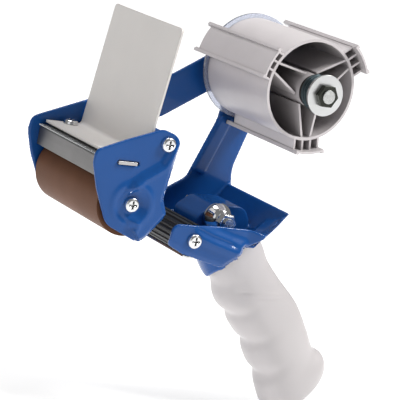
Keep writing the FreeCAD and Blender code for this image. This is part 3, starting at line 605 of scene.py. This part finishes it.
# The tray's rear corner on the open side: outer rim, inner crease and foot, as (x, y, z).
RIM_OUTER = ((-38, -42.5, -84.9), (-22, -42.5, -85.2), (-13.7, -42.6, -86.6), (-2, -36, -81.7),
             (10, -27.5, -75.8))
RIM_CREASE = ((-36, -41, -86.2), (-24, -33, -88.6), (-8, -20, -90), (1, -17, -84),
              (8.6, -18, -76.5))
RIM_FOOT = ((-36, -40, -95.5), (-24, -30, -96), (-8, -15, -95.5), (1, -12, -86.6),
            (9.0, -14, -76.0))
RIM_SKIRT = ((-38, -42.5, -96), (-25.5, -42.6, -96.2), (-15.5, -40.8, -91.6), (-3.5, -34.2, -85.6),
             (9.6, -27.2, -76.8))
# The floor's tip below the flange, as (x, z), which the flange replaces.
FLOOR_TIP = [(-27.5, -99.5), (-27.0, -94.0), (-4.0, -94.0), (-4.0, -99.5)]
TIP_SPAN = (-46.0, -31.0)
RIM_THICKNESS = 0.0017
RIM_SAG = 0.6
RIM_STEPS = 28


def line_in_space(points):
    """A smooth line through (x, y, z) points in mm, as a function of 0 to 1."""
    side = curve_through([(x, y) for x, y, z in points])
    height = curve_through([(x, z) for x, y, z in points])
    start = points[0][0]
    end = points[-1][0]

    def at(t):
        x = start + (end - start) * t
        return Vector((x, side(x), height(x)))

    return at


def corner_flange():
    """The curved flange that closes the tray's rear corner on the open side."""
    lines = [line_in_space(points) for points in (RIM_SKIRT, RIM_OUTER, RIM_CREASE, RIM_FOOT)]
    rows = []
    skin = bmesh.new()
    for k in range(RIM_STEPS + 1):
        skirt, outer, crease, foot = [line(k / RIM_STEPS) for line in lines]
        sagged = outer.lerp(crease, 0.5) - Vector((0, 0, RIM_SAG))
        rows.append([skin.verts.new(point * MM) for point in (skirt, outer, sagged, crease, foot)])
    bridge(skin, rows, closed=False)
    bmesh.ops.recalc_face_normals(skin, faces=skin.faces)
    bmesh.ops.solidify(skin, geom=skin.faces[:], thickness=RIM_THICKNESS)
    return mesh_from(skin, "corner_flange")


def frame_relief(x, y, z):
    """The pressed crease, inward lean and bulge of the tray's open side wall."""
    wall = 1 - smoothstep(*WALL_SPAN, y)
    if wall == 0:
        return Vector((x, y, z))
    step = signed_distance(WALL_CREASE, x, z)
    along = smoothstep(*RELIEF_START, x)
    lean = LEAN * smoothstep(0.0, LEAN_REACH, step) * along * (1 - smoothstep(*LEAN_FADE, x))
    groove = GROOVE * bell(step, GROOVE_REACH) * along * (1 - smoothstep(*GROOVE_FADE, x))
    bulge = BULGE * bell(step + BULGE_BELOW, BULGE_REACH) * along
    roll = rolled(abs(signed_distance(WALL_FOOT, x, z)), WALL_ROLL, WALL_ROLL_REACH)
    return Vector((x, y + (lean + groove - bulge + roll) * wall, z))


bare_frame = trimmed(welded(NODES["main_frame"], "pressed_frame"), FLOOR_TIP, *TIP_SPAN)
pressed_sheet("main_frame", joined(bare_frame, corner_flange()), FRAME_VOXEL, frame_relief)


# ---------------------------------------------------------------- brake spring


def make_spring():
    """The brake's coil spring, between the friction pad and the washer that presses it."""
    mesh = welded(NODES["brake_spring"], "coil_spring")
    coil = finished("coil_spring", mesh, SPRING, None, "brake_spring")
    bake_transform(coil)


make_spring()


# ---------------------------------------------------------------- press flap

FLAP_BEND = Vector((-101.5, 0.0, -49.5))
FLAP_REACH = 24.4
FLAP_RISE = 75.0
FLAP_LEAN = math.tan(math.radians(5.8))
FLAP_HALF = 40.0
FLAP_SHEET = 1.5
FLAP_CORNER = 2.5
FLAP_EASE = 0.25
FLAP_COLUMNS = 40
# How far apart the foot's rows are, and how many rows the bend, leaf and corners have.
FOOT_SPACING = 0.8
BEND_STEPS = 8
LEAF_STEPS = 24
CORNER_STEPS = 6
BEND_RADIUS = 3.0
# The leaf stands this much in front of the corner. Its crown grows forward between the two
# heights above the bend.
LEAF_SETBACK = 0.6
FLAP_CROWN = 0.5
CROWN_RISE = (4, 30)
# The dimple in the foot, as (x, y).
DIMPLE = (-114.5, -6.0)
DIMPLE_DEPTH = 0.45
DIMPLE_REACH = 1.6


def flap_path():
    """The flap's centre line in the side view: foot, bend and leaf, as (x, z) points."""
    corner = FLAP_BEND
    half_sheet = FLAP_SHEET / 2
    foot_steps = int((FLAP_REACH - BEND_RADIUS) / FOOT_SPACING)
    points = [(corner.x - FLAP_REACH + k * FOOT_SPACING, corner.z + half_sheet)
              for k in range(foot_steps + 1)]
    for k in range(1, BEND_STEPS + 1):
        turn = (math.pi / 2 - math.atan(FLAP_LEAN)) * k / BEND_STEPS
        points.append((corner.x - BEND_RADIUS - LEAF_SETBACK + BEND_RADIUS * math.sin(turn),
                       corner.z + half_sheet + BEND_RADIUS * (1 - math.cos(turn))))
    base_x, base_z = points[-1]
    height = FLAP_RISE - BEND_RADIUS - half_sheet
    steps = [height * k / LEAF_STEPS for k in range(1, LEAF_STEPS)]
    steps += [height - FLAP_CORNER * (1 - k / CORNER_STEPS) ** 2 for k in range(CORNER_STEPS + 1)]
    for rise in steps:
        points.append((base_x + rise * FLAP_LEAN, base_z + rise))
    return points


def make_flap():
    """The press flap: one bent sheet, a little crowned, with a small dimple in its foot."""
    skin = bmesh.new()
    path = flap_path()
    rows = []
    for x, z in path:
        row = []
        below_top = min((path[-1][1] - z) / FLAP_CORNER, 1.0)
        half = FLAP_HALF - FLAP_CORNER * (1 - math.sqrt(1 - (1 - below_top) ** 2))
        leaf = smoothstep(FLAP_BEND.z + CROWN_RISE[0], FLAP_BEND.z + CROWN_RISE[1], z)
        for k in range(FLAP_COLUMNS + 1):
            y = half * (2 * k / FLAP_COLUMNS - 1)
            crown = FLAP_CROWN * leaf * (1 - (y / FLAP_HALF) ** 2)
            near = math.hypot(x - DIMPLE[0], y - DIMPLE[1])
            dent = DIMPLE_DEPTH * bell(near, DIMPLE_REACH) * (1 - leaf)
            row.append(skin.verts.new(Vector((x - crown, y, z - dent)) * MM))
        rows.append(row)
    bridge(skin, rows, closed=False)
    thicken = ("SOLIDIFY", {"thickness": FLAP_SHEET * MM, "offset": 0.0})
    ease = ("BEVEL", {"width": FLAP_EASE * MM, "segments": 2, "limit_method": "ANGLE"})
    mesh = applied(mesh_from(skin, "flap_sheet"), [thicken, ease])
    mesh.name = "flap_sheet"
    finished("flap_sheet", mesh, FLAP, "frame", "press_flap")


make_flap()


# ---------------------------------------------------------------- hub and cross bolt

WING_ANGLES = [math.radians(38.5 + 120 * k) for k in range(3)]
# What is cut from each wing's deck, as (outward, across), and the y values it lies between.
NOTCH = ((33.5, -7.2), (39.5, -7.2), (39.5, 7.2), (33.5, 7.2))
NOTCH_SPAN = (35.2, 42.0)
# The domed cup on the cross bolt: its axis as (x, z), and its outline as (radius, y).
CUP_AXIS = (-28.0, -86.5)
CUP_STEPS = 64
CUP_PROFILE = ((3.05, -8.0), (8.9, -8.0), (9.3, -8.8), (9.25, -10.0), (8.9, -11.6), (8.3, -13.1),
               (7.4, -14.6), (6.4, -15.8), (5.4, -16.6), (4.6, -17.0), (3.05, -17.0))


def make_hub():
    """The hub with its wings' decks cut back at the far end, so that their rails stand proud."""
    mesh = welded(NODES["hub"], "tape_hub")
    for angle in WING_ANGLES:
        corners = []
        for out, across in NOTCH:
            corners.append((out * math.cos(angle) - across * math.sin(angle),
                            out * math.sin(angle) + across * math.cos(angle)))
        mesh = trimmed(mesh, corners, *NOTCH_SPAN)
    hub = finished("tape_hub", mesh, HUB, "hub", "hub")
    hub.data.shade_flat()


def lathe(name, profile, x, z, steps):
    """A closed ring turned about an axis along Y at (x, z) from (radius, y) points, in mm."""
    skin = bmesh.new()
    rings = []
    for radius, y in profile:
        ring = []
        for k in range(steps):
            turn = 2 * math.pi * k / steps
            place = Vector((x + radius * math.cos(turn), y, z + radius * math.sin(turn)))
            ring.append(skin.verts.new(place * MM))
        rings.append(ring)
    bridge(skin, rings + rings[:1], closed=True)
    return mesh_from(skin, name)


cup_mesh = lathe("domed_cup", CUP_PROFILE, *CUP_AXIS, CUP_STEPS)
finished("domed_cup", cup_mesh, CHROME, "frame", "bolt_cup")
make_hub()


# ---------------------------------------------------------------- floor, light and camera

PAPER = 0.62
# The paper's glow along a fixed level direction, away from the photograph's viewpoint: where it
# starts and ends, in metres, and how strong it is there.
GLOW_DIRECTION = (0.54, 0.84, 0.0)
GLOW_SPAN = (-0.20, 0.9)
GLOW_STRENGTH = (0.56, 0.95)
FLOOR_RADIUS = 8.0
FLOOR_SIDES = 96
FLOOR_GAP = 0.002
WHITE = (1.0, 1.0, 1.0)
SKY_STRENGTH = 0.20
OBJECT_MIDDLE = (-0.04, 0.0, -0.06)
# Each lamp: its name, place, size, power and colour.
LAMPS = (("key", (0.80, -0.55, 1.15), 0.5, 22.0, (1.0, 0.99, 0.97)),
         ("fill", (-1.3, -0.7, 0.35), 1.0, 1.5, (0.97, 0.98, 1.0)),
         ("top", (-0.25, 0.35, 1.4), 0.8, 11.0, WHITE))
# The photograph's view: the camera's place, its right and forward directions and its lens.
CAMERA_PLACE = (-0.670373, -0.994407, 0.137376)
CAMERA_RIGHT = (0.84513, -0.49520, 0.20134)
CAMERA_AHEAD = (0.52888, 0.82934, -0.18022)
CAMERA_LENS = 182.38
CAMERA_SENSOR = 36.0
CAMERA_FAR = 50.0


def studio_paper():
    """Pale paper that glows more and more behind the object, like a light table."""
    paper = surface("studio_paper", (PAPER, PAPER, PAPER), 0.9, mottle=0.005, grain_scale=200.0,
                    soft_edge=0.0, specular=0.1)
    tree = paper.node_tree
    shader = tree.nodes["Principled BSDF"]
    shader.inputs["Emission Color"].default_value = (*WHITE, 1.0)
    place = node(tree, "ShaderNodeTexCoord")
    behind = node(tree, "ShaderNodeVectorMath", operation="DOT_PRODUCT")
    behind.inputs[1].default_value = GLOW_DIRECTION
    tree.links.new(place.outputs["Object"], behind.inputs[0])
    glow = remapped(tree, behind.outputs["Value"], *GLOW_SPAN, *GLOW_STRENGTH)
    tree.links.new(glow, shader.inputs["Emission Strength"])
    return paper


def make_floor():
    """A wide round sheet of the paper, just below the object."""
    mesh = bpy.data.meshes.new("studio_floor")
    skin = bmesh.new()
    bmesh.ops.create_circle(skin, cap_ends=True, segments=FLOOR_SIDES,
                            radius=FLOOR_RADIUS)
    bmesh.ops.translate(skin, verts=skin.verts, vec=(0, 0, CAD_BOX[0][2] - FLOOR_GAP))
    skin.to_mesh(mesh)
    skin.free()
    floor = bpy.data.objects.new("studio_floor", mesh)
    scene.collection.objects.link(floor)
    paint(floor, studio_paper())


def add_area_light(name, place, size, power, colour):
    """A round soft light, aimed at the object's middle."""
    light = bpy.data.lights.new(name, "AREA")
    light.shape = "DISK"
    light.size = size
    light.energy = power
    light.color = colour
    lamp = bpy.data.objects.new(name, light)
    scene.collection.objects.link(lamp)
    lamp.location = place
    aim = Vector(OBJECT_MIDDLE) - Vector(place)
    lamp.rotation_euler = aim.to_track_quat("-Z", "Y").to_euler()


def light_studio():
    """An even white sky and three soft lamps."""
    world = bpy.data.worlds.new("studio")
    scene.world = world
    world.use_nodes = True
    sky = world.node_tree.nodes["Background"]
    sky.inputs["Color"].default_value = (*WHITE, 1.0)
    sky.inputs["Strength"].default_value = SKY_STRENGTH
    for lamp in LAMPS:
        add_area_light(*lamp)
    scene.view_settings.view_transform = "Standard"


def add_camera():
    """The camera, at the photograph's viewing angle."""
    camera = bpy.data.cameras.new("camera")
    camera.lens = CAMERA_LENS
    camera.sensor_width = CAMERA_SENSOR
    camera.clip_end = CAMERA_FAR
    camera.dof.use_dof = False
    viewer = bpy.data.objects.new("camera", camera)
    scene.collection.objects.link(viewer)
    right = Vector(CAMERA_RIGHT).normalized()
    ahead = Vector(CAMERA_AHEAD).normalized()
    up = right.cross(ahead)
    turn = Matrix((right, up, -ahead)).transposed().to_4x4()
    viewer.matrix_world = Matrix.Translation(CAMERA_PLACE) @ turn
    scene.camera = viewer


make_floor()
light_studio()
add_camera()
